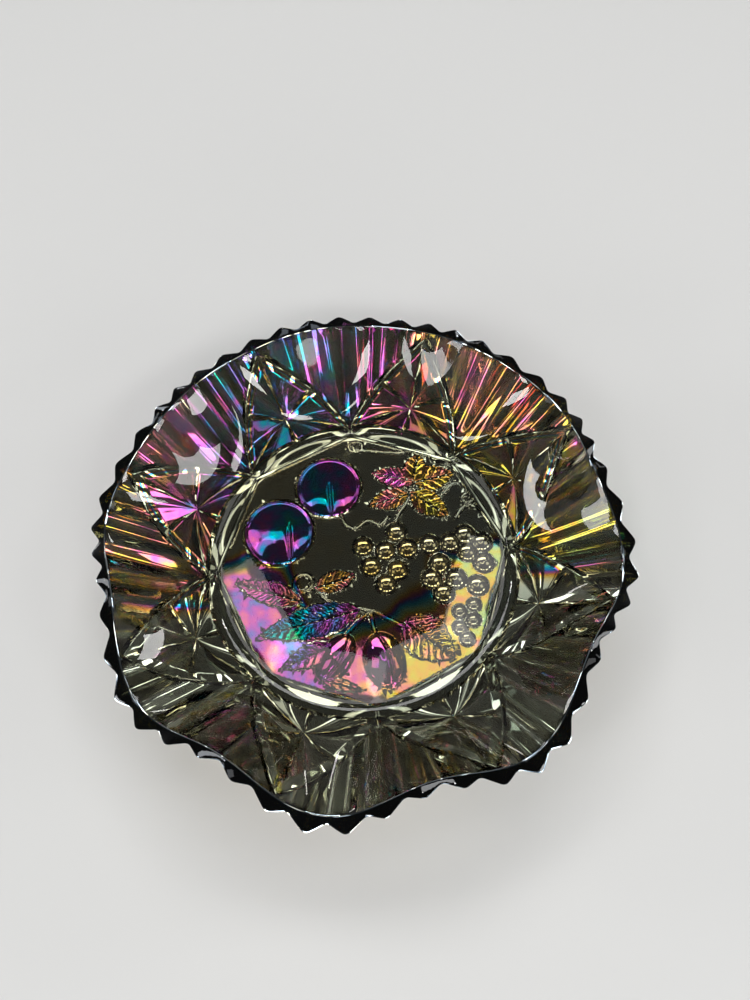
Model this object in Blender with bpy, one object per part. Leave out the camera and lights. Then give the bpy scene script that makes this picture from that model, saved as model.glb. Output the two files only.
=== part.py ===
# Ruffled fruit bowl of pressed smoke glass, made as one piece.
# Metres, +Z up. The origin is on the bowl's axis, on the plane that it stands on.
import math

import bmesh
import bpy
from mathutils import Matrix, Vector
from mathutils.geometry import interpolate_bezier

MM = 0.001

# Counts of the pressed pattern: each sector has a star field, two half fans and one ruffle
SECTORS = 8
TEETH_PER_SECTOR = 6

# Smooth inside, as the plunger leaves it before the rim is ruffled
FLOOR_RADIUS = 80 * MM
FLOOR_TOP = 6 * MM
FILLET_RADIUS = 12 * MM
FILLET_TURN = math.radians(28)
RIM_RADIUS = 130.7 * MM
RIM_HEIGHT = 48.9 * MM
RIM_SLOPE = math.radians(46)
RIM_CUT_SLOPE = math.radians(2)

# Glass thickness over the pattern, square to the smooth inside
RIDGE_AT_FOOT = 5.4 * MM
RIDGE_AT_RIM = 5.3 * MM
VALLEY_AT_FOOT = 3.8 * MM
VALLEY_AT_RIM = 1.75 * MM
STAR_CENTRE = 6.4 * MM
STAR_RAY_END = 5.2 * MM
STAR_VALLEY_END = 3.2 * MM

# Layout of the star fields, along the wall
APEX_TO_RIM = 5 * MM
STAR_CENTRE_UP = 15 * MM
STAR_BORDER = 2.6 * MM
RIB_RUN_OUT = 4 * MM

# Eight-sided foot, a narrow ring round a recessed panel
FOOT_SET_IN = 2.4 * MM
FOOT_WIDTH = 3 * MM
FOOT_RECESS = 1.6 * MM
RECESS_DRAFT = 1 * MM

# Ruffle, pressed into the hot rim square to the wall
RUFFLE_DEPTH = 11.2 * MM
RUFFLE_LEAN = math.radians(35)
RUFFLE_ABOVE_FOOT = 3.5 * MM
RUFFLE_GROWTH = 1.5
RUFFLE_LAG = math.radians(12.6)

# Mesh steps
FILLET_STEPS = 5
WALL_STEPS = 7
FAN_STEPS = 5
STAR_RINGS = 3
COLUMNS_PER_TOOTH = 4

GLASS_COLOUR = (0.052, 0.052, 0.036, 1.0)
GLASS_ROUGHNESS = 0.04

SECTOR_ANGLE = math.tau / SECTORS
HALF_COLUMNS = TEETH_PER_SECTOR * COLUMNS_PER_TOOTH // 2
MERGE = 0.00001

# Start and end of the flared wall, on the inside
WALL_FOOT = Vector((
    FLOOR_RADIUS + FILLET_RADIUS * math.sin(FILLET_TURN),
    FLOOR_TOP + FILLET_RADIUS * (1 - math.cos(FILLET_TURN)),
))
WALL_RIM = Vector((RIM_RADIUS, RIM_HEIGHT))
WALL_CHORD = (WALL_RIM - WALL_FOOT).length
FOOT_HEADING = Vector((math.cos(FILLET_TURN), math.sin(FILLET_TURN)))
RIM_HEADING = Vector((math.cos(RIM_SLOPE), math.sin(RIM_SLOPE)))
WALL_POINTS = interpolate_bezier(
    WALL_FOOT,
    WALL_FOOT + FOOT_HEADING * WALL_CHORD / 3,
    WALL_RIM - RIM_HEADING * WALL_CHORD / 3,
    WALL_RIM,
    WALL_STEPS * 8 + 1,
)
APEX_UP = WALL_CHORD - APEX_TO_RIM


def clear_scene():
    for item in list(bpy.data.objects):
        bpy.data.objects.remove(item, do_unlink=True)


def mix(a, b, share):
    return a + (b - a) * share


def wall_inside(up):
    # Point and heading of the inside, at a distance up the wall; past the rim it runs on straight
    if up >= WALL_CHORD:
        return WALL_RIM + RIM_HEADING * (up - WALL_CHORD), RIM_HEADING
    place = max(up, 0.0) / WALL_CHORD * (len(WALL_POINTS) - 1)
    index = min(int(place), len(WALL_POINTS) - 2)
    start = Vector(WALL_POINTS[index][:2])
    end = Vector(WALL_POINTS[index + 1][:2])
    heading = mix(FOOT_HEADING, RIM_HEADING, up / WALL_CHORD).normalized()
    return start.lerp(end, place - index), heading


def wall_outside(angle, up, thickness):
    inside, heading = wall_inside(up)
    radius = inside.x + heading.y * thickness
    height = inside.y - heading.x * thickness
    return Vector((radius * math.cos(angle), radius * math.sin(angle), height))


def ridge(up):
    return mix(RIDGE_AT_FOOT, RIDGE_AT_RIM, min(up / WALL_CHORD, 1.0))


def valley(up):
    return mix(VALLEY_AT_FOOT, VALLEY_AT_RIM, min(up / WALL_CHORD, 1.0))


def rib_crest(column):
    # One on a rib's crest, which each tooth continues, and nought in the groove between two ribs
    turn = (column / COLUMNS_PER_TOOTH) % 1.0
    return abs(2 * turn - 1)


def rib_thickness(column, up):
    return mix(valley(up), ridge(up), rib_crest(column))


def rim_end(column):
    # How far past the inner rim a column runs before the rim's end face cuts it
    thickness = rib_thickness(column, WALL_CHORD)
    drop = math.tan(RIM_CUT_SLOPE)
    across = thickness * (math.cos(RIM_SLOPE) + drop * math.sin(RIM_SLOPE))
    return across / (math.sin(RIM_SLOPE) - drop * math.cos(RIM_SLOPE))


def mitre_up(column):
    # The line between a star field and its fan, from the foot's corner up to the star's apex
    return APEX_UP * column / HALF_COLUMNS


def base_radius():
    return wall_outside(0.0, 0.0, RIDGE_AT_FOOT).x


def foot_corner():
    return base_radius() - FOOT_SET_IN


def border_point(across, up):
    # Line round a star field; its base dips toward the foot's corners, so that the bevel below is flat
    point = wall_outside(across * SECTOR_ANGLE / 2, up, ridge(up))
    if up == 0.0:
        foot_flat = foot_corner() * math.cos(SECTOR_ANGLE / 2)
        point.z *= (point.x - foot_flat) / (base_radius() - foot_flat)
    return point


def add_half_fan(bm, side):
    grid = []
    for column in range(HALF_COLUMNS + 1):
        across = side * (column / HALF_COLUMNS - 1)
        angle = across * SECTOR_ANGLE / 2
        low = mitre_up(column)
        high = WALL_CHORD + rim_end(column)
        run_out = min(low + RIB_RUN_OUT, mix(low, high, 0.5))
        line = [bm.verts.new(border_point(across, low))]
        for step in range(FAN_STEPS):
            up = mix(run_out, high, step / (FAN_STEPS - 1))
            line.append(bm.verts.new(wall_outside(angle, up, rib_thickness(column, up))))
        grid.append(line)
    for left, right in zip(grid, grid[1:]):
        for step in range(FAN_STEPS):
            bm.faces.new((left[step], right[step], right[step + 1], left[step + 1]))


def star_outline():
    # Columns and heights round a star field: along its base, up one mitre, down the other
    outline = []
    for column in range(-HALF_COLUMNS, HALF_COLUMNS):
        if column % 2 == 0:
            outline.append((column / HALF_COLUMNS, 0.0))
    for column in range(HALF_COLUMNS):
        outline.append((1 - column / HALF_COLUMNS, mitre_up(column)))
    for column in range(HALF_COLUMNS, 0, -1):
        outline.append((column / HALF_COLUMNS - 1, mitre_up(column)))
    return outline


def ray_share(index):
    # One on each of the star's six rays and nought on the valley lines between them
    span = HALF_COLUMNS // 2
    turn = (index / span) % 1.0
    return abs(2 * turn - 1)


def add_star(bm):
    outline = star_outline()
    border = 1 - STAR_BORDER / STAR_CENTRE_UP
    centre = bm.verts.new(wall_outside(0.0, STAR_CENTRE_UP, STAR_CENTRE))
    rings = []
    for ring in range(1, STAR_RINGS + 1):
        share = border * ring / STAR_RINGS
        verts = []
        for index, (across, up) in enumerate(outline):
            edge = mix(STAR_VALLEY_END, STAR_RAY_END, ray_share(index))
            thickness = mix(STAR_CENTRE, edge, ring / STAR_RINGS)
            angle = across * share * SECTOR_ANGLE / 2
            verts.append(bm.verts.new(wall_outside(angle, mix(STAR_CENTRE_UP, up, share), thickness)))
        rings.append(verts)
    outer = []
    for across, up in outline:
        outer.append(bm.verts.new(border_point(across, up)))
    rings.append(outer)
    for index in range(len(outline)):
        follow = (index + 1) % len(outline)
        bm.faces.new((centre, rings[0][index], rings[0][follow]))
        for small, large in zip(rings, rings[1:]):
            bm.faces.new((small[index], large[index], large[follow], small[follow]))


def foot_point(across, corner_radius, height):
    # Points along one straight side of the foot, between two of its corners
    flat = corner_radius * math.cos(SECTOR_ANGLE / 2)
    half_side = corner_radius * math.sin(SECTOR_ANGLE / 2)
    return Vector((flat, across * half_side, height))


def add_foot_side(bm):
    # The bevel under a star field, the flat foot and the step up to the recessed panel
    corner = foot_corner()
    steps = [across for across, up in star_outline() if up == 0.0]
    lines = [[border_point(across, up=0.0) for across in steps]]
    lines.append([foot_point(across, corner, 0.0) for across in steps])
    lines.append([foot_point(across, corner - FOOT_WIDTH, 0.0) for across in steps])
    lines.append([foot_point(across, corner - FOOT_WIDTH - RECESS_DRAFT, FOOT_RECESS) for across in steps])
    grid = [[bm.verts.new(point) for point in line] for line in lines]
    for upper, lower in zip(grid, grid[1:]):
        for index in range(len(steps) - 1):
            bm.faces.new((upper[index], lower[index], lower[index + 1], upper[index + 1]))


def add_inside(bm):
    profile = []
    for step in range(FILLET_STEPS):
        turn = FILLET_TURN * step / FILLET_STEPS
        radius = FLOOR_RADIUS + FILLET_RADIUS * math.sin(turn)
        profile.append(Vector((radius, 0, FLOOR_TOP + FILLET_RADIUS * (1 - math.cos(turn)))))
    for step in range(WALL_STEPS + 1):
        point, heading = wall_inside(WALL_CHORD * step / WALL_STEPS)
        profile.append(Vector((point.x, 0, point.y)))
    verts = [bm.verts.new(point) for point in profile]
    edges = [bm.edges.new(pair) for pair in zip(verts, verts[1:])]
    bmesh.ops.spin(
        bm,
        geom=verts + edges,
        axis=(0, 0, 1),
        angle=math.tau,
        steps=SECTORS * 2 * HALF_COLUMNS,
        use_merge=True,
    )


def ruffle(point):
    # One wave to a sector, which grows toward the tooth tips and moves the glass square to the wall
    start = base_radius() + RUFFLE_ABOVE_FOOT
    tip_radius = wall_outside(0.0, WALL_CHORD + rim_end(0), RIDGE_AT_RIM).x
    radius = math.hypot(point.x, point.y)
    reach = max(radius - start, 0.0) / (tip_radius - start)
    wave = -math.cos(SECTORS * (math.atan2(point.y, point.x) + RUFFLE_LAG))
    rise = RUFFLE_DEPTH * wave * reach ** RUFFLE_GROWTH
    outward = Vector((point.x, point.y, 0.0)).normalized()
    return point - outward * rise * math.sin(RUFFLE_LEAN) + Vector((0, 0, rise * math.cos(RUFFLE_LEAN)))


def glass_material():
    material = bpy.data.materials.new("smoke_glass")
    material.use_nodes = True
    shader = material.node_tree.nodes["Principled BSDF"]
    shader.inputs["Base Color"].default_value = GLASS_COLOUR
    shader.inputs["Roughness"].default_value = GLASS_ROUGHNESS
    shader.inputs["Metallic"].default_value = 0.0
    material.diffuse_color = GLASS_COLOUR
    return material


def build_bowl():
    bm = bmesh.new()
    add_star(bm)
    add_half_fan(bm, 1)
    add_half_fan(bm, -1)
    add_foot_side(bm)
    bmesh.ops.spin(
        bm,
        geom=bm.verts[:] + bm.edges[:] + bm.faces[:],
        axis=(0, 0, 1),
        angle=SECTOR_ANGLE * (SECTORS - 1),
        steps=SECTORS - 1,
        use_duplicate=True,
    )
    # A foot corner, not a side, faces +X
    half_turn = Matrix.Rotation(SECTOR_ANGLE / 2, 3, "Z")
    bmesh.ops.rotate(bm, verts=bm.verts[:], matrix=half_turn)
    add_inside(bm)
    bmesh.ops.remove_doubles(bm, verts=bm.verts[:], dist=MERGE)
    rims = [edge for edge in bm.edges if edge.is_boundary and edge.verts[0].co.z > RIM_HEIGHT / 2]
    bmesh.ops.bridge_loops(bm, edges=rims)
    openings = [edge for edge in bm.edges if edge.is_boundary]
    bmesh.ops.holes_fill(bm, edges=openings)
    for vert in bm.verts:
        vert.co = ruffle(vert.co)
    bmesh.ops.recalc_face_normals(bm, faces=bm.faces[:])
    mesh = bpy.data.meshes.new("bowl")
    bm.to_mesh(mesh)
    bm.free()
    mesh.shade_smooth()
    mesh.set_sharp_from_angle(angle=math.radians(18))
    mesh.materials.append(glass_material())
    bowl = bpy.data.objects.new("bowl", mesh)
    bpy.context.scene.collection.objects.link(bowl)
    return bowl


clear_scene()
build_bowl()
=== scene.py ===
import math

import bmesh
import bpy
import numpy as np
from mathutils import Matrix, Quaternion, Vector
from mathutils.geometry import delaunay_2d_cdt


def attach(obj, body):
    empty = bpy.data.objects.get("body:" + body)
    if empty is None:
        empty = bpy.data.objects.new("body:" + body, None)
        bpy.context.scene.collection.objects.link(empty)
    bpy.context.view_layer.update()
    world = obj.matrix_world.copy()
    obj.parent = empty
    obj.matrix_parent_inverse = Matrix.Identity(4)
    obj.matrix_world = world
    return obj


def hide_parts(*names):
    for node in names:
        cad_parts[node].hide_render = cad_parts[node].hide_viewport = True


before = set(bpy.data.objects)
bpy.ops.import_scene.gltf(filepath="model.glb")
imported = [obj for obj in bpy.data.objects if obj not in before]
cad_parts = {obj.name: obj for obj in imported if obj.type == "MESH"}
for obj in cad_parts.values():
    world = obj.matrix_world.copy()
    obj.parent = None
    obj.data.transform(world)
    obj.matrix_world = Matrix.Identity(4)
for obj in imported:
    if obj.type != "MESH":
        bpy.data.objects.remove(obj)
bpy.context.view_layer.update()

mm = 0.001
tiny = 1e-9


def mix(a, b, share):
    return a + (b - a) * share


# Pressed glass: one skin, smooth inside, stars, ribs and foot outside, then ruffled
bowl = {
    "sectors": 8,
    "teethPerSector": 6,
    "floorRadius": 80 * mm,
    "floorTop": 6 * mm,
    "filletRadius": 12 * mm,
    "filletTurn": math.radians(28),
    "rimRadius": 130.7 * mm,
    "rimHeight": 48.9 * mm,
    "rimSlope": math.radians(46),
    "rimCut": math.radians(2),
    "ridge": (5.4 * mm, 5.3 * mm),  # thickness at the foot, at the rim
    "valley": (3.8 * mm, 1.75 * mm),
    "starCentre": 6.4 * mm,
    "starRayEnd": 5.2 * mm,
    "starValleyEnd": 3.2 * mm,
    "apexToRim": 5 * mm,
    "starCentreUp": 15 * mm,
    "starBorder": 2.6 * mm,
    "ribRunOut": 4 * mm,
    "footSetIn": 2.4 * mm,
    "footWidth": 3 * mm,
    "footRecess": 1.6 * mm,
    "recessDraft": 1 * mm,
    "ruffleDepth": 11.2 * mm,
    "ruffleLean": math.radians(35),
    "ruffleAboveFoot": 3.5 * mm,
    "ruffleGrowth": 1.5,
    "ruffleLag": math.radians(12.6),
    "thinLight": 0.010,  # less smoke where the glass is thin, in the valleys
    "edgeRound": 0.22,  # share of a facet that its rounded edge takes
    "bead": 0.62 * mm,  # raised line along rays, mitres and the arcs above the foot
    "footBead": 0.6 * mm,
    "crisp": math.radians(28),  # edges sharper than this stay sharp
    "innerColumns": 320,
    "bevelSag": 0.15 * mm,  # belly of the bevel above the foot
    "beadRunIn": 0.06,  # share of a side or a mitre over which its bead runs in
    "rayRunIn": 0.25,  # share of the way out from a star's middle
    "rayWidth": 0.12,  # share of a facet that the bead on a ray takes
    "rayBlunt": 0.8,
    "borderBand": 0.02,  # rings this near the inner edge of a star's border keep it crisp
    "borderEnd": 0.985,
    "rimRound": (0.55 * mm, 0.34 * mm, 0.3 * mm),  # worn edges: inner, tooth edge on top, on the wall
    "flatRing": 2 * mm,  # level ring at the edge of the floor inside
    "filletSteps": 10,
    "wallSteps": 18,
    "weld": 2e-6,
    "edgeFilm": 0.25,  # shares of the film: on the foot and the mitres
    "rayFilm": 0.35,
    "stepFilm": 0.4,
    "nearFilm": 0.25,  # on the wall towards -Y
    "nearStart": -0.3,  # sine of the azimuth up to which it has that share
    "nearFade": 0.2,
    "insideFilm": 0.03,
    "rimFilm": 0.05,  # on the cut end of the rim, and on its worn edges
    "wornFilm": 0.2,
}

sectorAngle = math.tau / bowl["sectors"]
wallFoot = np.array([
    bowl["floorRadius"] + bowl["filletRadius"] * math.sin(bowl["filletTurn"]),
    bowl["floorTop"] + bowl["filletRadius"] * (1 - math.cos(bowl["filletTurn"])),
])
wallRim = np.array([bowl["rimRadius"], bowl["rimHeight"]])
wallChord = float(np.linalg.norm(wallRim - wallFoot))
footHeading = np.array([math.cos(bowl["filletTurn"]), math.sin(bowl["filletTurn"])])
rimHeading = np.array([math.cos(bowl["rimSlope"]), math.sin(bowl["rimSlope"])])
apexUp = wallChord - bowl["apexToRim"]


def wallInside(up):
    # point and heading of the smooth inside at a distance up the wall, straight past the rim
    up = np.asarray(up, float)
    t = np.clip(up / wallChord, 0, 1)[..., None]
    handleA = wallFoot + footHeading * wallChord / 3
    handleB = wallRim - rimHeading * wallChord / 3
    curve = (1 - t) ** 3 * wallFoot + 3 * (1 - t) ** 2 * t * handleA
    curve = curve + 3 * (1 - t) * t ** 2 * handleB + t ** 3 * wallRim
    heading = mix(footHeading, rimHeading, t)
    heading = heading / np.linalg.norm(heading, axis=-1, keepdims=True)
    past = np.maximum(up - wallChord, 0)[..., None]
    return curve + rimHeading * past, heading


def wallOutside(angle, up, thickness):
    inside, heading = wallInside(up)
    radius = inside[..., 0] + heading[..., 1] * thickness
    height = inside[..., 1] - heading[..., 0] * thickness
    angle = np.broadcast_to(angle, radius.shape)
    return np.stack([radius * np.cos(angle), radius * np.sin(angle), height], -1)


def upShare(up):
    return np.minimum(np.asarray(up, float) / wallChord, 1)


def ridge(up):
    return mix(*bowl["ridge"], upShare(up))


def valley(up):
    return mix(*bowl["valley"], upShare(up))


def roundCrest(x):
    # 1 on a crest, 0 in a valley, x runs 0 to 1 between them, both ends slightly rounded
    w = bowl["edgeRound"]
    x = np.asarray(x, float)
    line = 1 - x
    line = np.where(x < w, 1 - w / 2 - x * x / (2 * w), line)
    y = 1 - x
    return np.where(y < w, w / 2 + y * y / (2 * w), line)


def ribCrest(u):
    # u is 0 at a foot corner and 1 at a star apex
    x = (np.asarray(u, float) * bowl["teethPerSector"]) % 2
    return roundCrest(np.where(x > 1, 2 - x, x))


def rimEnd(crest):
    thickness = mix(bowl["valley"][1], bowl["ridge"][1], crest)
    drop = math.tan(bowl["rimCut"])
    across = thickness * (rimHeading[0] + drop * rimHeading[1])
    return across / (rimHeading[1] - drop * rimHeading[0])


baseRadius = float(wallOutside(0.0, 0.0, bowl["ridge"][0])[0])
tipRadius = float(wallOutside(0.0, wallChord + rimEnd(1.0), bowl["ridge"][1])[0])
footCorner = baseRadius - bowl["footSetIn"]
panelCorner = footCorner - bowl["footWidth"] - bowl["recessDraft"]
footFlat = footCorner * math.cos(sectorAngle / 2)
baseHeight = float(wallOutside(0.0, 0.0, bowl["ridge"][0])[2])


def borderDip(across, up):
    # how far the line round a star field dips, so that the bevel under its base is flat
    gone = baseRadius * (1 - np.cos(np.asarray(across) * sectorAngle / 2)) / (baseRadius - footFlat)
    corner = baseRadius * (1 - math.cos(sectorAngle / 2)) / (baseRadius - footFlat)
    climb = np.maximum(1 - np.asarray(up) / apexUp * 2 * bowl["teethPerSector"], 0)
    return baseHeight * np.where(np.asarray(up) == 0, gone, corner * climb)


def ruffle(points):
    start = baseRadius + bowl["ruffleAboveFoot"]
    radius = np.hypot(points[:, 0], points[:, 1])
    reach = np.maximum(radius - start, 0) / (tipRadius - start)
    wave = -np.cos(bowl["sectors"] * (np.arctan2(points[:, 1], points[:, 0]) + bowl["ruffleLag"]))
    rise = bowl["ruffleDepth"] * wave * reach ** bowl["ruffleGrowth"]
    scale = 1 - rise * math.sin(bowl["ruffleLean"]) / np.maximum(radius, tiny)
    out = points.copy()
    out[:, 0] *= scale
    out[:, 1] *= scale
    out[:, 2] += rise * math.cos(bowl["ruffleLean"])
    return out


# Rows of points, close together at edges so that only the edges shade round
facetSteps = (0, 0.04, 0.08, 0.13, 0.2, 0.3, 0.5, 0.7, 0.8, 0.87, 0.93)  # across one facet
runOutRows = ((0, 1), (0.06, 0.8), (0.13, 0.3), (0.2, 0), (0.5, 0), (0.88, 0))  # up from a mitre, bead
ribRows = [0, 0.03] + list(np.linspace(0.1, 0.95, 8)) + [1]
starStops = ((-1, 0), (0, 0), (1, 0), (0.5, 0.5), (0, 1), (-0.5, 0.5), (-1, 0))  # across, up
starRows = [0.03, 0.08, 0.2, 0.4, 0.6]
halfSide = np.concatenate([np.linspace(0, 0.94, 11), [0.97, 0.985, 1.0]])  # middle to corner of the foot
bevelRows = (0, 0.06, 0.14, 0.32, 0.5, 0.68, 0.86, 0.95)
stepCurve = ((0.3, 0.45), (0.55, 0.72), (0.78, 0.9), (1, 1))  # inward, up


class Skin:
    def __init__(self):
        self.points = []
        self.film = []
        self.smoke = []
        self.faces = []
        self.count = 0

    def add(self, points, film, smoke=1.0):
        points = np.asarray(points, float).reshape(-1, 3)
        first = self.count
        self.points.append(points)
        self.film.append(np.broadcast_to(film, len(points)).astype(float))
        self.smoke.append(np.broadcast_to(smoke, len(points)).astype(float))
        self.count += len(points)
        return np.arange(first, self.count)

    def grid(self, points, film, closed=False, smoke=1.0):
        rows, columns = points.shape[:2]
        film, smoke = (np.broadcast_to(v, (rows, columns)).ravel() for v in (film, smoke))
        index = self.add(points, film, smoke).reshape(rows, columns)
        last = columns if closed else columns - 1
        for r in range(rows - 1):
            for c in range(last):
                d = (c + 1) % columns
                self.faces.append((index[r, c], index[r, d], index[r + 1, d], index[r + 1, c]))
        return index

    def zip(self, lineA, placeA, lineB, placeB):
        # triangles between two lines with unlike numbers of points, in step with their places
        a, b = 0, 0
        while a < len(lineA) - 1 or b < len(lineB) - 1:
            nextA = placeA[a + 1] if a < len(lineA) - 1 else np.inf
            nextB = placeB[b + 1] if b < len(lineB) - 1 else np.inf
            if nextA <= nextB:
                self.faces.append((lineA[a], lineA[a + 1], lineB[b]))
                a += 1
            else:
                self.faces.append((lineA[a], lineB[b + 1], lineB[b]))
                b += 1


def turned(points, angle):
    c, s = math.cos(angle), math.sin(angle)
    out = np.array(points, float)
    x, y = out[..., 0].copy(), out[..., 1].copy()
    out[..., 0] = x * c - y * s
    out[..., 1] = x * s + y * c
    return out


def nearFade(points):
    # the film thins out on the wall towards -Y
    ahead = points[..., 1] / np.hypot(points[..., 0], points[..., 1])
    t = np.clip((ahead - bowl["nearStart"]) / bowl["nearFade"], 0, 1)
    return mix(bowl["nearFilm"], 1, t * t * (3 - 2 * t))


def fanColumns():
    facets = bowl["teethPerSector"]
    places = [(f + s) / facets for f in range(facets) for s in facetSteps]
    return np.array(places + [1.0])


def halfFan(u):
    # rows from the mitre up to the tooth edge, for columns from the foot corner to the star apex
    crest = ribCrest(u)
    low = apexUp * u
    high = wallChord + rimEnd(crest)
    run = np.minimum(bowl["ribRunOut"], (high - low) / 2)
    angle = (u - 1) * sectorAngle / 2
    bead = bowl["bead"] * np.minimum(u / bowl["beadRunIn"], 1)
    rows, film = [], []
    for share, raised in runOutRows:
        up = low + run * share
        thick = mix(ridge(up), mix(valley(up), ridge(up), crest), share) + raised * bead
        rows.append(wallOutside(angle, up, thick))
        rows[-1][:, 2] -= borderDip(-np.ones_like(u), np.maximum(low, tiny)) * (1 - share)
        film.append(bowl["edgeFilm"] if raised else 1)
    high = high - bowl["rimRound"][2]
    for share in ribRows:
        up = mix(low + run, high, share)
        rows.append(wallOutside(angle, up, mix(valley(up), ridge(up), crest)))
        film.append(1)
    return np.stack(rows), np.array(film)[:, None], 1 - bowl["thinLight"] * (1 - crest) ** 2


def starLine():
    # places round a star field from one base corner: two on the base, two up each mitre
    line, crest, raised, place = [], [], [], []
    for n in range(len(starStops) - 1):
        for half in range(2):
            for s in facetSteps:
                share = (half + s) / 2
                x = s if half == 0 else 1 - s
                line.append([mix(starStops[n][k], starStops[n + 1][k], share) for k in (0, 1)])
                crest.append(float(roundCrest(x)))
                raised.append(max(1 - x / bowl["rayWidth"], 0) ** bowl["rayBlunt"])
                place.append(n + share)
    line = np.array(line)
    return line[:, 0], line[:, 1] * apexUp, np.array(crest), np.array(raised), np.array(place)


def starRings():
    across, up, crest, raised, place = starLine()
    border = 1 - bowl["starBorder"] / bowl["starCentreUp"]
    edge = mix(bowl["starValleyEnd"], bowl["starRayEnd"], crest)
    dip = borderDip(across, up)
    rings, film = [], []
    band = bowl["borderBand"]
    for share in starRows + [border - band, border, border + band, bowl["borderEnd"]]:
        level = mix(bowl["starCentreUp"], up, share)
        past = max(share - border, 0) / (1 - border)
        thick = mix(edge, ridge(up), past)
        if share <= border:
            runIn = min(share / bowl["rayRunIn"], 1)
            thick = mix(bowl["starCentre"], edge, share / border) + raised * bowl["bead"] * runIn
        rings.append(wallOutside(across * share * sectorAngle / 2, level, thick))
        rings[-1][:, 2] -= dip * past
        onStar = np.where(raised > 0, bowl["rayFilm"], 1)
        film.append(onStar if past < 0.5 else np.full_like(up, bowl["edgeFilm"]))
    smoke = [1 - bowl["thinLight"] * (1 - crest) ** 2] * (len(rings) - 1) + [np.ones_like(up)]
    return np.stack(rings), np.stack(film), np.stack(smoke), place


def footRows(across):
    # bevel under the star field, standing foot, step up to the panel
    angle = across * sectorAngle / 2
    bead = bowl["bead"] * np.minimum((1 - np.abs(across)) / bowl["beadRunIn"], 1)
    base = wallOutside(angle, np.zeros_like(angle), bowl["ridge"][0] + bead)
    base[:, 2] -= borderDip(across, np.zeros_like(across))

    def side(corner, height):
        flat = corner * math.cos(sectorAngle / 2)
        half = corner * math.sin(sectorAngle / 2)
        return np.stack([np.full_like(across, flat), across * half, np.full_like(across, height)], -1)

    outer = side(footCorner, 0.0)
    sag = bowl["bevelSag"] * ((base[:, 0] - footFlat) / (baseRadius - footFlat)) ** 2
    rows = []
    for s in bevelRows:
        rows.append(mix(base, outer, s))
        rows[-1][:, 2] -= 4 * s * (1 - s) * sag
    # the foot stands on its outer edge and on a sharp bead; a rounded step leads up to the panel
    bead, width, deep = bowl["footBead"], bowl["footWidth"], bowl["footRecess"]
    middle = width / 2
    line = [(0, 0), (bead, bead), (middle - bead, bead), (middle, 0), (middle + bead, bead), (width, bead)]
    for inward, up in stepCurve:
        line.append((width + inward * bowl["recessDraft"], mix(bead, deep, up)))
    rows += [side(footCorner - inward, height) for inward, height in line]
    film = np.full((len(rows), 1), bowl["edgeFilm"])
    film[-len(stepCurve):] = bowl["stepFilm"]
    return np.stack(rows), film


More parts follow.
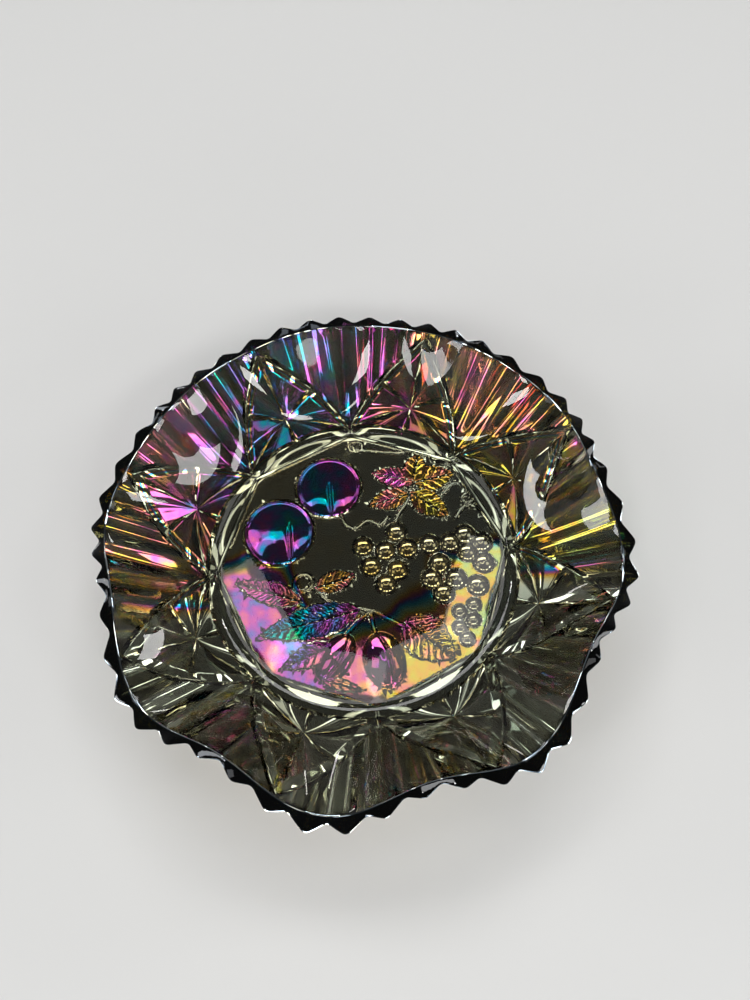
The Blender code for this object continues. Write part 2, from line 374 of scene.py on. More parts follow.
# Sunk fruit design on the underside of the base panel, sizes in millimetres
fruit = {
    "peaches": [  # x, y, radius, cleft aside, share of the film
        (-16, 48.5, 20.5, 0.5, 1.03),
        (-47, 22.5, 21.5, 6, 1.01),
    ],
    "plums": [  # x, y, half width, half length, tilt
        (-19.5, -54, 9.5, 15, -36),
        (6.5, -58, 11.5, 16, 10),
    ],
    "fruitDepth": 2.6,
    "stepBand": 0.18,  # share of the radius that the stepped edge takes
    "steps": 3,
    "stair": 0.9,  # 0 is a plain ramp, 1 has level treads
    "domeShare": 0.78,
    "peachTop": 0.15,  # level down to here, in radii above the middle
    "peachSlope": (0.22, 0.54),  # straight and bent part of the fall below it
    "peachLobe": (0.75, 0.35, 0.85),  # fall at the cleft, more on the lobes, how far apart they are
    "peachCleft": (1.0, 0.3),  # half width, end in radii above the middle
    "plumDome": (1.012, 0.4, 0.03, 0.606),  # height, cone, how blunt its point is, round part
    "plumCleft": (0.8, 0.3),  # half width, bow in half widths of the plum
    "cleftDepth": 0.3,
    "plumFilm": 1.02,
    "grapes": [
        (1, 8.5), (13.5, 4.5), (26.5, 4.7), (21, 15.5), (4.5, -4.2), (19.5, -7.8), (12, -15.4), (39.5, 6),
        (51.5, 6), (60.5, 10), (60.4, -1), (43.4, -6.4), (37.9, -15), (51.5, -16.4), (43.5, -24), (69.5, 4),
        (68.5, -8.5), (63, -21.5),
    ],
    "grapeRadius": 6.7,
    "tail": [(50.7, -35.5), (59, -32.5), (49.5, -44.5), (57.5, -41), (52.5, -51)],
    "tailRadius": 4.8,
    "grapeDepth": 2.4,
    "grapeFilm": 0.36,
    "leaves": [  # base, tip, half width, share of the film
        ((-36, -21), (-73, -6), 7, 0.95),
        ((-4, -29), (-60, -38), 9.5, 1.1),
        ((-20, -47), (-49, -57), 6.5, 1),
        ((-28, -65), (-6, -73), 3.5, 1),
        ((-28, -14), (-4, -8), 6.5, 0.95),
        ((20, -38), (44, -61), 12, 1),
        ((31, 39), (6, 33.5), 7, 0.96),
        ((32, 40), (53, 22), 8, 1),
        ((36, 47), (10, 55), 7, 0.98),
        ((35, 46), (60, 50), 8.5, 1),
        ((34, 46), (40, 66), 7, 1),
    ],
    "farFilm": 0.28,  # on the far part of the flat ground
    "bandWidth": 44,  # from the panel's side to where the film is as thin as on the far part
    "bandEnd": 10,  # y of the band's two ends
    "bandFade": 14,
    "bandWaves": ((4, 13, math.inf, 0.6), (2, 5.1, 9, 0)),  # height, run along x, along y, start
    "filmInset": 0.95,  # share of a fruit's radius that has its own film
    "leafFilmFrom": 0.3,  # depth from which a leaf has its own
    "leafDepth": 1.5,
    "leafRamp": 1.1,
    "leafForm": (0.8, 0.75),  # widest past the middle, blunt ends
    "scallops": (0.10, 6),  # depth, number
    "leafBelly": 0.004,  # each field between two veins bulges by this much
    "veinPitch": 5.0,
    "veinSlant": 0.9,
    "sideVein": (0.3, 0.35),  # height, half width
    "midrib": (0.5, 0.5),
    "stems": [
        [
            (1, 74), (2, 71), (6, 72), (6, 76), (2, 77.5), (-2, 75), (0, 71),
            (8, 71), (17, 69), (30, 67), (40, 68), (47, 62), (55, 58), (60, 52),
        ],
        [(34, 46), (32, 39), (29, 33), (24, 27), (21, 20)],
        [(-10, 29), (-8, 23), (-2, 20), (5, 24), (12, 21), (17, 25)],
        [(2, -30), (-6, -36), (-13, -42)],
        [(2, -30), (2, -36), (3, -42)],
        [(18, -40), (10, -35), (2, -30), (-8, -27), (-20, -23), (-28, -14)],
        [(52, 37), (58, 43), (64, 41), (68, 36), (68, 31), (64, 30), (62, 33), (65, 36)],
        [(57, 21), (62, 27), (69, 27), (74, 20), (76, 12)],
    ],
    "stemDepth": 1.2,
    "stemRadius": 1.4,
    "berry": (-34.5, -10.2, 5, 1.6, 1.2),  # x, y, radius of a ring, its half width and depth
    "uneven": [(1.6, 1.3, 0.4), (-1.1, 1.9, 2.1), (2.0, -0.5, 4.0)],  # waves: turn along x, along y, start
    "unevenUnit": 10,  # their turns are per centimetre
    "unevenDepth": 0.02,
    "unevenFrom": 8,  # the border is even
}

# Points of the panel's mesh, spacings in millimetres
net = {
    "finest": 0.75,
    "levels": ((4, 0.0), (2, 0.02), (1, 0.06)),  # spacing over the finest, least bend
    "offset": (0.13, 0.21),  # share of the spacing
    "slopeShare": 0.15,  # a slope counts this much as bend
    "ringStep": 0.85,
    "ringLeast": 8,
    "lipOver": 1.015,  # ring just outside a fruit, in radii
    "lipReach": 1.1,  # rings on the stepped edge go this far past it
    "lipPerStep": 4,
    "domeRings": (0.06, 1.15, 0.07),  # first radius, clear of the stepped edge, spacing
    "grapeRings": (0.25, 0.5, 0.7, 0.84, 0.93, 0.98, 1.0, 1.03),
    "cleftRun": (-0.95, 0.3, 0.035),  # from, to and step in radii of the peach
    "cleftLines": (-1.5, -0.9, -0.3, 0.3, 0.9, 1.5),
    "leafRun": (0.01, 0.99),
    "leafStep": 0.7,
    "leafLines": (-0.05, 0.3, 0.7, 1.1, 1.5, 1.9),  # in from the leaf's edge
    "leafClear": 0.2,
    "veinRun": (0.7, 1.1, 0.8),  # from the midrib, to in half widths of the leaf, step
    "veinLines": (-0.45, 0, 0.45),
    "veinEnd": 0.3,
    "veinAcross": 0.74,  # distance across a slanted vein over that along the midrib
    "veinClear": 0.8,
    "midribLines": (-0.9, -0.45, 0, 0.45, 0.9),
    "curveSteps": 16,  # between two knots of a stem
    "stemRun": 1.0,
    "stemStep": 0.7,
    "stemLines": (-1.08, -0.97, -0.75, -0.35, 0.35, 0.75, 0.97, 1.08),  # in radii of the stem
    "borderLines": (0.5, 1.1, 1.8),  # in from the panel's side
    "borderCount": 44,
    "borderClear": 2.4,
    "merge": 1e-5,
}


def dome(d, depth):
    # round hollow with a crisp lip, d is 0 at the middle and 1 at the edge
    return depth * np.sqrt(np.maximum(1 - d * d, 0))


def fruitBody(d, bulge):
    # bulge inside a stepped edge, d is 0 at the middle and 1 at the edge
    climb = np.clip((1 - d) / fruit["stepBand"], 0, 1)
    turns = math.tau * fruit["steps"]
    stair = climb - fruit["stair"] * np.sin(turns * climb) / turns
    rise = np.sqrt(np.minimum(climb * 2, 1))
    return fruit["fruitDepth"] * mix(stair, np.clip(bulge, 0, 1) * rise, fruit["domeShare"])


def peachBulge(x, y, cx, cy, r, aside):
    # flat at the top, sloping down to two lobes beside the cleft
    down = np.maximum(cy + fruit["peachTop"] * r - y, 0) / r
    least, more, apart = fruit["peachLobe"]
    straight, bent = fruit["peachSlope"]
    lobe = least + more * np.sin(math.pi * np.minimum(np.abs(x - cx - aside) / (apart * r), 1))
    return 1 - lobe * (straight * down + bent * down * down)


def along(x, y, a, b):
    # distance along and off a line from a to b, along as a share of its length
    ax, ay, bx, by = *a, *b
    length = math.hypot(bx - ax, by - ay)
    ux, uy = (bx - ax) / length, (by - ay) / length
    s = ((x - ax) * ux + (y - ay) * uy) / length
    off = -(x - ax) * uy + (y - ay) * ux
    return s, off, length


def plumPlace(x, y, cx, cy, tilt):
    a = math.radians(tilt)
    lx = (x - cx) * math.cos(a) + (y - cy) * math.sin(a)
    ly = -(x - cx) * math.sin(a) + (y - cy) * math.cos(a)
    return lx, ly


def leafEdge(s, half):
    # half width of a leaf along its midrib, with a scalloped edge
    deep, count = fruit["scallops"]
    past, blunt = fruit["leafForm"]
    scallops = 1 + deep * np.abs(np.sin(s * math.pi * count))
    return half * (np.sin(math.pi * s ** past) ** blunt) * scallops


def veinPlace(s, off, length):
    # place between two side veins, 0 to 1
    return (s * length - np.abs(off) * fruit["veinSlant"]) / fruit["veinPitch"] % 1


def leafDepth(x, y, base, tip, half):
    s, off, length = along(x, y, base, tip)
    ramp = np.clip((leafEdge(np.clip(s, 0, 1), half) - np.abs(off)) / fruit["leafRamp"], 0, 1)
    ramp = ramp * ramp * (3 - 2 * ramp)
    step = veinPlace(s, off, length)
    belly = fruit["leafBelly"] * 4 * step * (1 - step)
    vein = np.minimum(step, 1 - step) * fruit["veinPitch"]
    raised = 0
    for away, (height, width) in ((vein, fruit["sideVein"]), (off, fruit["midrib"])):
        raised = raised + height * np.exp(-(away / width) ** 2)
    return np.where((s > 0) & (s < 1), ramp * (fruit["leafDepth"] + belly - raised), 0)


def smoothLine(knots, spacing):
    # curve through the knots, in even steps
    knots = np.array(knots, float)
    t = np.linspace(0, len(knots) - 1, net["curveSteps"] * len(knots))
    k = np.clip(t.astype(int), 0, len(knots) - 2)
    f = (t - k)[:, None]
    p0, p3 = knots[np.maximum(k - 1, 0)], knots[np.minimum(k + 2, len(knots) - 1)]
    p1, p2 = knots[k], knots[k + 1]
    curve = 2 * p1 + (p2 - p0) * f + (2 * p0 - 5 * p1 + 4 * p2 - p3) * f ** 2
    curve = (curve + (3 * p1 - p0 - 3 * p2 + p3) * f ** 3) / 2
    run = np.concatenate([[0], np.cumsum(np.linalg.norm(np.diff(curve, axis=0), axis=1))])
    even = np.linspace(0, run[-1], max(3, int(run[-1] / spacing)))
    return np.stack([np.interp(even, run, curve[:, n]) for n in (0, 1)], -1)


def stemDepth(x, y, knots):
    near = np.full(x.shape, np.inf)
    curve = smoothLine(knots, net["stemRun"])
    for a, b in zip(curve, curve[1:]):
        s, off, length = along(x, y, a, b)
        c = np.clip(s, 0, 1)
        near = np.minimum(near, np.hypot(x - mix(a[0], b[0], c), y - mix(a[1], b[1], c)))
    return dome(near / fruit["stemRadius"], fruit["stemDepth"])


def fruitHollow(x, y):
    # depth of the design in millimetres at points of the panel
    depth = np.zeros_like(x)
    for base, tip, half, film in fruit["leaves"]:
        depth = np.maximum(depth, leafDepth(x, y, base, tip, half))
    for knots in fruit["stems"]:
        depth = np.maximum(depth, stemDepth(x, y, knots))
    for cx, cy, r, aside, film in fruit["peaches"]:
        body = fruitBody(np.hypot(x - cx, y - cy) / r, peachBulge(x, y, cx, cy, r, aside))
        width, end = fruit["peachCleft"]
        cleft = np.exp(-((x - cx - aside) / width) ** 2) * np.clip(end - (y - cy) / r, 0, 1)
        depth = np.maximum(depth, body * (1 - fruit["cleftDepth"] * cleft))
    for cx, cy, rx, ry, tilt in fruit["plums"]:
        lx, ly = plumPlace(x, y, cx, cy, tilt)
        d = np.hypot(lx / rx, ly / ry)
        top, cone, blunt, curve = fruit["plumDome"]
        body = fruitBody(d, top - cone * np.sqrt(d * d + blunt) - curve * d * d)
        width, bow = fruit["plumCleft"]
        cleft = np.exp(-((lx - bow * rx * (1 - (ly / ry) ** 2)) / width) ** 2)
        depth = np.maximum(depth, body * (1 - fruit["cleftDepth"] * cleft))
    for name, size in (("grapes", "grapeRadius"), ("tail", "tailRadius")):
        for cx, cy in fruit[name]:
            depth = np.maximum(depth, dome(np.hypot(x - cx, y - cy) / fruit[size], fruit["grapeDepth"]))
    cx, cy, r, width, deep = fruit["berry"]
    return np.maximum(depth, dome((np.hypot(x - cx, y - cy) - r) / width, deep))


def fruitFilm(x, y):
    # share of the film: thin on the grapes, about all of it on the other fruit and the leaves,
    # and on the flat ground only in a wavy band along the near sides
    wave = 0
    for height, runX, runY, start in fruit["bandWaves"]:
        wave = wave + height * np.sin(x / runX + y / runY + start)
    band = np.minimum(fruit["bandWidth"] + wave - panelReach(x, y), fruit["bandEnd"] - y + wave)
    film = mix(fruit["farFilm"], 1, np.clip(band / fruit["bandFade"], 0, 1))
    inset = fruit["filmInset"]
    for base, tip, half, share in fruit["leaves"]:
        film = np.where(leafDepth(x, y, base, tip, half) > fruit["leafFilmFrom"], share, film)
    for cx, cy, r, aside, share in fruit["peaches"]:
        film = np.where(np.hypot(x - cx, y - cy) < inset * r, share, film)
    for cx, cy, rx, ry, tilt in fruit["plums"]:
        lx, ly = plumPlace(x, y, cx, cy, tilt)
        film = np.where(np.hypot(lx / rx, ly / ry) < inset, fruit["plumFilm"], film)
    for name, size in (("grapes", "grapeRadius"), ("tail", "tailRadius")):
        for cx, cy in fruit[name]:
            film = np.where(np.hypot(x - cx, y - cy) < inset * fruit[size], fruit["grapeFilm"], film)
    return film


def ringPoints(cx, cy, rx, ry, tilt, shares):
    # rings of points round a fruit, at shares of its radius
    points = []
    c, s = math.cos(math.radians(tilt)), math.sin(math.radians(tilt))
    for share in shares:
        count = max(net["ringLeast"], int(math.tau * max(rx, ry) * share / net["ringStep"]))
        t = np.arange(count) / count * math.tau
        lx, ly = rx * share * np.cos(t), ry * share * np.sin(t)
        points.append(np.stack([cx + lx * c - ly * s, cy + lx * s + ly * c], -1))
    return np.concatenate(points)


def leafPoints(base, tip, half):
    base, tip = np.array(base, float), np.array(tip, float)
    length = np.linalg.norm(tip - base)
    ahead = (tip - base) / length
    side = np.array([-ahead[1], ahead[0]])
    pitch = fruit["veinPitch"]
    nearest, widest, step = net["veinRun"]
    s = np.linspace(*net["leafRun"], int(length / net["leafStep"]))
    edge = leafEdge(s, half)
    points = []
    for sign in (1, -1):
        for inward in net["leafLines"]:
            keep = edge > inward + net["leafClear"]
            lines = base + np.outer(s * length, ahead) + np.outer(sign * (edge - inward), side)
            points.append(lines[keep])
        # lines along the side veins
        for start in np.arange(-half, length, pitch) // pitch * pitch:
            off = np.arange(nearest, half * widest, step)
            for shift in net["veinLines"]:
                run = start + shift + fruit["veinSlant"] * off
                keep = (run > 0) & (run < length)
                keep &= off < leafEdge(np.clip(run / length, 0, 1), half) - net["veinEnd"]
                points.append((base + np.outer(run, ahead) + np.outer(sign * off, side))[keep])
    for off in net["midribLines"]:
        points.append(base + np.outer(s * length, ahead) + off * side)
    return points


def stemPoints(knots):
    curve = smoothLine(knots, net["stemStep"])
    ahead = np.gradient(curve, axis=0)
    ahead /= np.maximum(np.linalg.norm(ahead, axis=1, keepdims=True), tiny)
    side = np.stack([-ahead[:, 1], ahead[:, 0]], -1)
    return [curve + side * k * fruit["stemRadius"] for k in net["stemLines"]]


def outlinePoints():
    # lines of points along everything in the design
    band = fruit["stepBand"]
    lipCount = net["lipPerStep"] * fruit["steps"] + 2
    first, clear, spacing = net["domeRings"]
    rings = [net["lipOver"]] + list(1 - band * np.linspace(0, net["lipReach"], lipCount))
    rings += list(np.arange(first, 1 - clear * band, spacing))
    points = [ringPoints(x, y, r, r, 0, rings) for x, y, r, aside, film in fruit["peaches"]]
    points += [ringPoints(x, y, rx, ry, tilt, rings) for x, y, rx, ry, tilt in fruit["plums"]]
    for x, y, r, aside, film in fruit["peaches"]:
        down = np.arange(*net["cleftRun"]) * r
        for k in net["cleftLines"]:
            points.append(np.stack([np.full_like(down, x + aside + k), y + down], -1))
    for name, size in (("grapes", "grapeRadius"), ("tail", "tailRadius")):
        for x, y in fruit[name]:
            points.append(ringPoints(x, y, fruit[size], fruit[size], 0, net["grapeRings"]))
    for base, tip, half, film in fruit["leaves"]:
        points += leafPoints(base, tip, half)
    for knots in fruit["stems"]:
        points += stemPoints(knots)
    return np.concatenate(points)


def panelReach(x, y):
    # distance in from the nearest side of the octagonal panel
    turn = (np.arctan2(y, x) - sectorAngle / 2) % sectorAngle
    side = panelCorner / mm * math.cos(sectorAngle / 2)
    return side - np.hypot(x, y) * np.cos(np.minimum(turn, sectorAngle - turn))


def besideVein(x, y):
    # veins keep the net of points off, so that their own lines of points stay straight
    beside = np.zeros(x.shape, bool)
    for base, tip, half, film in fruit["leaves"]:
        s, off, length = along(x, y, base, tip)
        step = veinPlace(s, off, length)
        vein = np.minimum(step, 1 - step) * fruit["veinPitch"] * net["veinAcross"]
        inLeaf = np.abs(off) < leafEdge(np.clip(s, 0, 1), half) + net["veinEnd"]
        beside |= (s > 0) & (s < 1) & inLeaf & (np.minimum(vein, np.abs(off)) < net["veinClear"])
    return beside


def borderPoints():
    # straight lines of points along the eight sides of the panel
    flat = panelCorner / mm * math.cos(sectorAngle / 2)
    points = []
    for inward in net["borderLines"]:
        half = (flat - inward) * math.tan(sectorAngle / 2)
        side = np.linspace(-half, half, net["borderCount"])[:-1]
        line = np.stack([np.full_like(side, flat - inward), side], -1)
        points += [turned(line, (n + 0.5) * sectorAngle) for n in range(bowl["sectors"])]
    return np.concatenate(points)


def panelPoints():
    # a coarse net, finer where the design bends, and lines of points along its outlines
    aside, ahead = net["offset"]
    chosen = [outlinePoints()]
    for times, least in net["levels"]:
        spacing = net["finest"] * times
        n = int(panelCorner / mm / spacing)
        side = np.arange(-n, n + 1) * spacing
        x, y = np.meshgrid(side, side)
        x, y = x.ravel() + aside * spacing, y.ravel() + ahead * spacing
        around = np.stack([fruitHollow(x + dx, y + dy) for dx, dy in ((1, 0), (-1, 0), (0, 1), (0, -1))])
        bend = np.abs(around.mean(0) - fruitHollow(x, y)) + net["slopeShare"] * around.std(0)
        keep = bend >= least
        chosen.append(np.stack([x[keep], y[keep]], -1))
        chosen[-1] = chosen[-1][~besideVein(*chosen[-1].T)]
    points = np.concatenate(chosen)
    inner = points[panelReach(points[:, 0], points[:, 1]) > net["borderClear"]]
    return np.concatenate([borderPoints(), inner])


def panelFloor(x, y):
    # height of the panel in millimetres: a slightly uneven pressed face with the design sunk in it
    uneven = np.zeros_like(x)
    for across, ahead, start in fruit["uneven"]:
        uneven += np.sin((x * across + y * ahead) / fruit["unevenUnit"] + start)
    inward = np.clip(panelReach(x, y) / fruit["unevenFrom"], 0, 1)
    sunk = fruitHollow(x, y) * np.clip(panelReach(x, y), 0, 1)
    return bowl["footRecess"] / mm + sunk + fruit["unevenDepth"] * uneven * inward


def buildGlass():
    skin = Skin()
    u = fanColumns()
    fan, fanFilm, fanSmoke = halfFan(u)
    rings, starFilm, starSmoke, starPlace = starRings()
    across = np.concatenate([-halfSide[:0:-1], halfSide])
    foot, footFilm = footRows(across)
    centre = wallOutside(0.0, bowl["starCentreUp"], bowl["starCentre"])
    panelLoop = []
    for n in range(bowl["sectors"]):
        turn = (n + 0.5) * sectorAngle
        for side in (1, -1):
            points = fan.copy()
            points[..., 1] *= side
            points = turned(points, turn)
            index = skin.grid(points, np.where(fanFilm < 1, fanFilm, nearFade(points)), smoke=fanSmoke)
            if side == 1:
                mitreLow = index[0]
            else:
                mitreHigh = index[0]
        star = turned(rings, turn)
        index = skin.grid(star, np.where(starFilm < 1, starFilm, nearFade(star)), True, starSmoke)
        middle = skin.add(turned(centre[None], turn), 1)[0]
        for c in range(index.shape[1]):
            skin.faces.append((middle, index[0, c], index[0, (c + 1) % index.shape[1]]))
        footIndex = skin.grid(turned(foot, turn), footFilm)
        # the star's border meets the foot along its base and the fans along its mitres
        ring = list(index[-1]) + [index[-1][0]]
        ringPlace = list(starPlace) + [len(starStops) - 1]
        line = list(footIndex[0]) + list(mitreHigh[1:]) + list(mitreLow[::-1][1:])
        place = list(1 + across) + list(2 + 2 * u[1:]) + list(4 + 2 * (1 - u[::-1][1:]))
        skin.zip(line, place, ring, ringPlace)
        panelLoop += list(turned(foot[-1], turn)[:-1])
    print("stars, ribs and foot", skin.count)

    # smooth inside
    columns = bowl["innerColumns"]
    angle = np.linspace(0, math.tau, columns, endpoint=False)
    profile = [(bowl["floorRadius"] - bowl["flatRing"], bowl["floorTop"])]
    for t in np.linspace(0, bowl["filletTurn"], bowl["filletSteps"] + 1)[:-1]:
        r = bowl["floorRadius"] + bowl["filletRadius"] * math.sin(t)
        profile.append((r, bowl["floorTop"] + bowl["filletRadius"] * (1 - math.cos(t))))
    insideFilm = [0] * len(profile)
    innerRound, tipRound, wallRound = bowl["rimRound"]
    wallUps = np.linspace(0, wallChord, bowl["wallSteps"] + 1)
    wallUps[-1] -= innerRound
    for up in wallUps:
        point, heading = wallInside(up)
        profile.append(tuple(point))
        insideFilm.append(bowl["insideFilm"])
    profile = np.array(profile)
    rows = np.stack([
        profile[:, :1] * np.cos(angle),
        profile[:, :1] * np.sin(angle),
        np.repeat(profile[:, 1:], columns, 1),
    ], -1)
    inside = skin.grid(rows, np.array(insideFilm)[:, None], closed=True, smoke=0.0)
    skin.faces.append(tuple(inside[0]))

    # cut end of the rim, from the smooth inner edge to the tooth edge
    def rimPoints(angles):
        # inner edge, tooth edge, the way across between them, and the wall just under the tooth edge
        local = (angles % sectorAngle) / sectorAngle * 2
        crest = ribCrest(np.where(local > 1, 2 - local, local))
        thick = mix(bowl["valley"][1], bowl["ridge"][1], crest)
        outer = wallOutside(angles, wallChord + rimEnd(crest), thick)
        under = wallOutside(angles, wallChord + rimEnd(crest) - wallRound, thick)
        level = np.full_like(angles, wallRim[1])
        inner = np.stack([wallRim[0] * np.cos(angles), wallRim[0] * np.sin(angles), level], -1)
        way = (outer - inner) / np.linalg.norm(outer - inner, axis=-1, keepdims=True)
        return inner, outer, way, under

    edgeAngles = []
    for n in range(bowl["sectors"]):
        edgeAngles += list((n + u[:-1] / 2) * sectorAngle)
        edgeAngles += list((n + 1 - u[::-1][:-1] / 2) * sectorAngle)
    edgeAngles = np.array(edgeAngles)
    film = np.array([bowl["rimFilm"], bowl["wornFilm"], bowl["rimFilm"]])[:, None]
    inner, outer, way, under = rimPoints(angle)
    innerBand = inner + way * innerRound
    worn = mix((rows[-1] + innerBand) / 2, inner, 0.5)
    innerBand = skin.grid(np.stack([rows[-1], worn, innerBand]), film, closed=True)[-1]
    inner, outer, way, under = rimPoints(edgeAngles)
    worn = mix(outer - way * tipRound, under, 0.5)
    outerBand = skin.grid(np.stack([outer - way * 2 * tipRound, worn, under]), film, closed=True)[0]
    skin.zip(
        list(innerBand) + [innerBand[0]],
        list(angle) + [math.tau],
        list(outerBand) + [outerBand[0]],
        list(edgeAngles) + [math.tau],
    )
    print("inside and rim", skin.count)

    # base panel with the sunk design
    loop = np.array(panelLoop)[:, :2] / mm
    coords = [Vector(p) for p in np.concatenate([loop, panelPoints()])]
    edges = [(k, (k + 1) % len(loop)) for k in range(len(loop))]
    insideOnly = 1  # no triangles outside the loop
    verts, _, faces, *_ = delaunay_2d_cdt(coords, edges, [], insideOnly, net["merge"])
    flat = np.array([(v.x, v.y) for v in verts])
    z = panelFloor(flat[:, 0], flat[:, 1]) * mm
    index = skin.add(np.column_stack([flat * mm, z]), fruitFilm(flat[:, 0], flat[:, 1]))
    for face in faces:
        skin.faces.append(tuple(index[k] for k in face[::-1]))
    print("panel with fruit", skin.count)

    points = ruffle(np.concatenate(skin.points))
    mesh = bpy.data.meshes.new("bowl_glass")
    mesh.from_pydata(points.tolist(), [], [tuple(int(k) for k in f) for f in skin.faces])
    for name, values in (("film", skin.film), ("smoke", skin.smoke)):
        mesh.attributes.new(name, "FLOAT", "POINT").data.foreach_set("value", np.concatenate(values))
    work = bmesh.new()
    work.from_mesh(mesh)
    bmesh.ops.remove_doubles(work, verts=work.verts[:], dist=bowl["weld"])
    bmesh.ops.recalc_face_normals(work, faces=work.faces[:])
    loose = sum(not e.is_manifold for e in work.edges)
    triangles = sum(len(f.verts) - 2 for f in work.faces)
    print("open edges", loose, "faces", len(work.faces), "triangles", triangles)
    work.to_mesh(mesh)
    work.free()
    mesh.shade_smooth()
    mesh.set_sharp_from_angle(angle=bowl["crisp"])
    piece = bpy.data.objects.new("bowl_glass", mesh)
    bpy.context.scene.collection.objects.link(piece)
    return piece


glass = buildGlass()


# Smoke glass with an iridescent film on its outside
smoke = {
    "roughness": (0.01, 0.05),
    "ior": 1.52,
    "insideTint": (0.86, 0.87, 0.74, 1),
    "outsideTint": (0.0026, 0.0027, 0.0013, 1),
    "absorb": (0.62, 0.60, 0.42, 1),
    "density": 80.0,
    "filmIor": 2.8,
    "filmMost": 304.0,  # nanometres: gold near 240, orange 257, pink 274, magenta 287, violet 300, blue 315
    "filmLeast": 248.0,
    "filmAside": -560.0,  # less per metre away from the line where it is thickest
    "filmLine": 0.045,  # that line lies this far towards -X
    "filmAlongY": 165.0,  # more per metre towards +Y
    "filmPatches": 125.0,
    "filmMottle": 30.0,
    "patchNoise": (64, 2),  # scale, detail
    "mottleNoise": (220, 3),
    "roughNoise": (35, 4),
    "waveNoise": (55, 1),
    "waves": 0.06,
    "waveHeight": 1 * mm,
}


def smokeGlass():
    material = bpy.data.materials.new("smoke_glass")
    material.use_nodes = True
    nodes, links = material.node_tree.nodes, material.node_tree.links
    nodes.clear()

    def node(kind, **values):
        made = nodes.new("ShaderNode" + kind)
        for name, value in values.items():
            setattr(made, name, value)
        return made

    def math2(operation, a, b):
        made = node("Math", operation=operation)
        for socket, value in zip(made.inputs, (a, b)):
            if isinstance(value, (int, float)):
                socket.default_value = value
            else:
                links.new(value, socket)
        return made.outputs["Value"]

    def noise(name):
        made = node("TexNoise")
        made.inputs["Scale"].default_value, made.inputs["Detail"].default_value = smoke[name]
        links.new(coord.outputs["Object"], made.inputs["Vector"])
        return made.outputs["Fac"]

    out = node("OutputMaterial")
    shader = node("BsdfPrincipled")
    shader.inputs["IOR"].default_value = smoke["ior"]
    shader.inputs["Transmission Weight"].default_value = 1.0
    shader.inputs["Thin Film IOR"].default_value = smoke["filmIor"]
    film = node("Attribute", attribute_name="film")
    coord = node("TexCoord")
    place = node("SeparateXYZ")
    links.new(coord.outputs["Object"], place.inputs["Vector"])

    # film thickness: thickest along a line left of the middle, thicker to the back, in soft patches
    aside = math2("ABSOLUTE", math2("ADD", place.outputs["X"], smoke["filmLine"]), 0.0)
    thick = math2("MULTIPLY_ADD", aside, smoke["filmAside"])
    thick.node.inputs[2].default_value = smoke["filmMost"]
    thick = math2("MAXIMUM", thick, smoke["filmLeast"])
    thick = math2("ADD", thick, math2("MULTIPLY", place.outputs["Y"], smoke["filmAlongY"]))
    patches = math2("MULTIPLY", math2("SUBTRACT", noise("patchNoise"), 0.5), smoke["filmPatches"])
    mottle = math2("MULTIPLY", math2("SUBTRACT", noise("mottleNoise"), 0.5), smoke["filmMottle"])
    thick = math2("ADD", thick, math2("ADD", patches, mottle))
    links.new(math2("MULTIPLY", thick, film.outputs["Fac"]), shader.inputs["Thin Film Thickness"])

    tint = node("Mix", data_type="RGBA")
    tint.inputs[6].default_value = smoke["insideTint"]
    tint.inputs[7].default_value = smoke["outsideTint"]
    links.new(node("Attribute", attribute_name="smoke").outputs["Fac"], tint.inputs["Factor"])
    links.new(tint.outputs[2], shader.inputs["Base Color"])

    rough = node("MapRange")
    rough.inputs["To Min"].default_value, rough.inputs["To Max"].default_value = smoke["roughness"]
    links.new(noise("roughNoise"), rough.inputs["Value"])
    links.new(rough.outputs["Result"], shader.inputs["Roughness"])

    wave = node("Bump")
    wave.inputs["Strength"].default_value = smoke["waves"]
    wave.inputs["Distance"].default_value = smoke["waveHeight"]
    links.new(noise("waveNoise"), wave.inputs["Height"])
    links.new(wave.outputs["Normal"], shader.inputs["Normal"])

    absorb = node("VolumeAbsorption")
    absorb.inputs["Color"].default_value = smoke["absorb"]
    absorb.inputs["Density"].default_value = smoke["density"]
    links.new(shader.outputs["BSDF"], out.inputs["Surface"])
    links.new(absorb.outputs["Volume"], out.inputs["Volume"])
    return material


glass.data.materials.append(smokeGlass())
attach(glass, "root")
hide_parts("bowl")


# Pale table, soft boxes, camera
stage = {
    "floorColour": (0.70, 0.70, 0.69, 1),
    "floorSize": 3.8,
    "floorRoughness": 0.8,
    "floorDrop": 0.2 * mm,
    "world": 0.06,
    "horizon": 0.38,  # the studio's wall is pale near the floor and dark above
    "horizonTop": 0.42,  # sine of the elevation where it has faded out
    "focalPixels": 720.0,
    "frameLong": 1000.0,
    "sensor": 36,
    "cameraPlace": (0.0003, -0.1451, 0.3898),
    "elevation": math.radians(64.71),
    "azimuth": math.radians(-3.29),
    "roll": math.radians(-2.59),
}


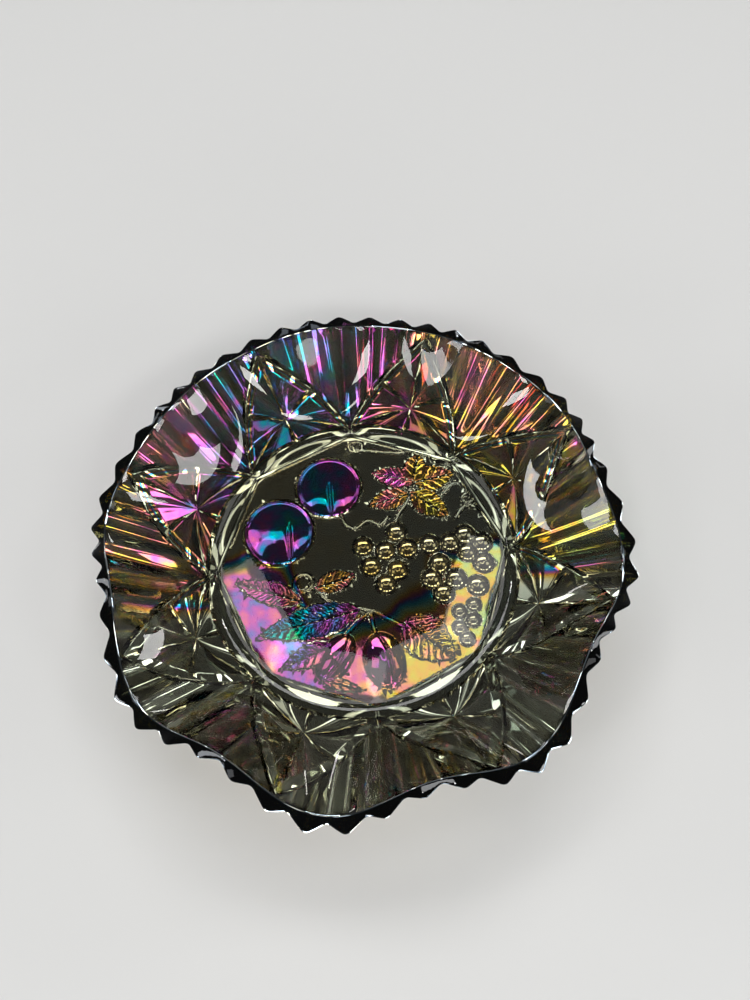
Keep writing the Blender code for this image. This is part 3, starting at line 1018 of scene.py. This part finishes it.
def buildStage():
    mesh = bpy.data.meshes.new("floor")
    h = stage["floorSize"] / 2
    mesh.from_pydata([(-h, -h, 0), (h, -h, 0), (h, h, 0), (-h, h, 0)], [], [(0, 1, 2, 3)])
    floor = bpy.data.objects.new("floor", mesh)
    floor.location.z = -stage["floorDrop"]
    bpy.context.scene.collection.objects.link(floor)
    material = bpy.data.materials.new("pale_floor")
    material.use_nodes = True
    shader = material.node_tree.nodes["Principled BSDF"]
    shader.inputs["Base Color"].default_value = stage["floorColour"]
    shader.inputs["Roughness"].default_value = stage["floorRoughness"]
    mesh.materials.append(material)
    world = bpy.data.worlds.new("studio")
    bpy.context.scene.world = world
    world.use_nodes = True
    nodes, links = world.node_tree.nodes, world.node_tree.links
    nodes["Background"].inputs["Color"].default_value = (1, 1, 1, 1)
    kinds = ("TexCoord", "SeparateXYZ", "MapRange")
    coord, split, fade = (nodes.new("ShaderNode" + kind) for kind in kinds)
    for name, value in (("From Max", "horizonTop"), ("To Min", "horizon"), ("To Max", "world")):
        fade.inputs[name].default_value = stage[value]
    links.new(coord.outputs["Generated"], split.inputs["Vector"])
    links.new(split.outputs["Z"], fade.inputs["Value"])
    links.new(fade.outputs["Result"], nodes["Background"].inputs["Strength"])


softBoxes = {  # glow is the brightness of the box's face, where 1 is a white wall in full light
    "overheadNearLeft": {"place": (-0.12, 0.27, 1.5), "size": (0.3, 0.11), "glow": 2.2, "turn": -42},
    "overheadNearRight": {"place": (0.12, 0.27, 1.5), "size": (0.3, 0.11), "glow": 2.2, "turn": 42},
    "overheadLeft": {"place": (-0.29, 0.44, 1.5), "size": (0.28, 0.11), "glow": 2.2, "turn": 83},
    "overheadRight": {"place": (0.29, 0.44, 1.5), "size": (0.28, 0.11), "glow": 2.2, "turn": -83},
    "far": {"place": (0.0, 1.13, 1.32), "size": (1.5, 0.45), "glow": 5},
    "behindLeft": {"place": (-0.62, -1.2, 1.25), "size": (0.3, 0.36), "glow": 13},
    "behindMiddle": {"place": (-0.05, -1.35, 1.4), "size": (0.34, 0.3), "glow": 13},
    "behindRight": {"place": (0.6, -1.15, 1.2), "size": (0.38, 0.26), "glow": 13},
    "nearRight": {"place": (1.2, -0.6, 1.15), "size": (0.36, 0.26), "glow": 9},
    "nearLeft": {"place": (-1.2, -0.55, 1.1), "size": (0.26, 0.36), "glow": 9},
    "lowRight": {"place": (1.6, -0.6, 0.5), "size": (0.6, 0.42), "glow": 7},
    "lowLeft": {"place": (-1.6, -0.6, 0.5), "size": (0.6, 0.42), "glow": 7},
    "front": {"place": (0.2, -1.6, 0.3), "size": (1.6, 0.22), "glow": 6},
    "right": {"place": (1.5, 0.4, 0.38), "size": (0.3, 0.4), "glow": 9},
    "left": {"place": (-1.5, 0.4, 0.38), "size": (0.3, 0.4), "glow": 9},
    "sideLeft": {"place": (-0.85, 0.2, 1.6), "size": (0.5, 0.5), "glow": 1.4},
    "sideRight": {"place": (0.85, 0.2, 1.6), "size": (0.5, 0.5), "glow": 1.4},
    "stripFar": {"place": (0.12, 1.7, 0.26), "size": (0.035, 0.4), "glow": 9},
    "stripFarLeft": {"place": (-0.85, 1.5, 0.26), "size": (0.035, 0.4), "glow": 9},
    "stripFarRight": {"place": (0.8, 1.5, 0.26), "size": (0.035, 0.4), "glow": 9},
    "lampFarLeft": {"place": (-0.8, 0.95, 1.5), "size": (0.07, 0.07), "glow": 60},
    "lampFarRight": {"place": (0.75, 1.0, 1.5), "size": (0.07, 0.07), "glow": 60},
}


def buildLights():
    for name, box in softBoxes.items():
        light = bpy.data.lights.new(name, "AREA")
        light.shape = "RECTANGLE"
        light.size, light.size_y = box["size"]
        light.energy = box["glow"] * math.pi * box["size"][0] * box["size"][1]
        lamp = bpy.data.objects.new(name, light)
        lamp.location = box["place"]
        aim = Vector(box["place"]).to_track_quat("Z", "Y")
        lamp.rotation_euler = (aim @ Quaternion((0, 0, 1), math.radians(box.get("turn", 0)))).to_euler()
        bpy.context.scene.collection.objects.link(lamp)


def buildCamera():
    e, a, r = stage["elevation"], stage["azimuth"], stage["roll"]
    back = Vector((math.cos(e) * math.sin(a), -math.cos(e) * math.cos(a), math.sin(e)))
    right = Vector((math.cos(a), math.sin(a), 0))
    up = back.cross(right)
    rightR = right * math.cos(r) + up * math.sin(r)
    upR = -right * math.sin(r) + up * math.cos(r)
    lens = bpy.data.cameras.new("camera")
    lens.sensor_fit = "AUTO"
    lens.sensor_width = stage["sensor"]
    lens.lens = stage["focalPixels"] / stage["frameLong"] * stage["sensor"]
    camera = bpy.data.objects.new("camera", lens)
    turn = Matrix((rightR, upR, back)).transposed().to_4x4()
    camera.matrix_world = Matrix.Translation(stage["cameraPlace"]) @ turn
    bpy.context.scene.collection.objects.link(camera)
    bpy.context.scene.camera = camera


buildStage()
buildLights()
buildCamera()
bpy.context.scene.view_settings.view_transform = "Standard"
print("stage, lights and camera")
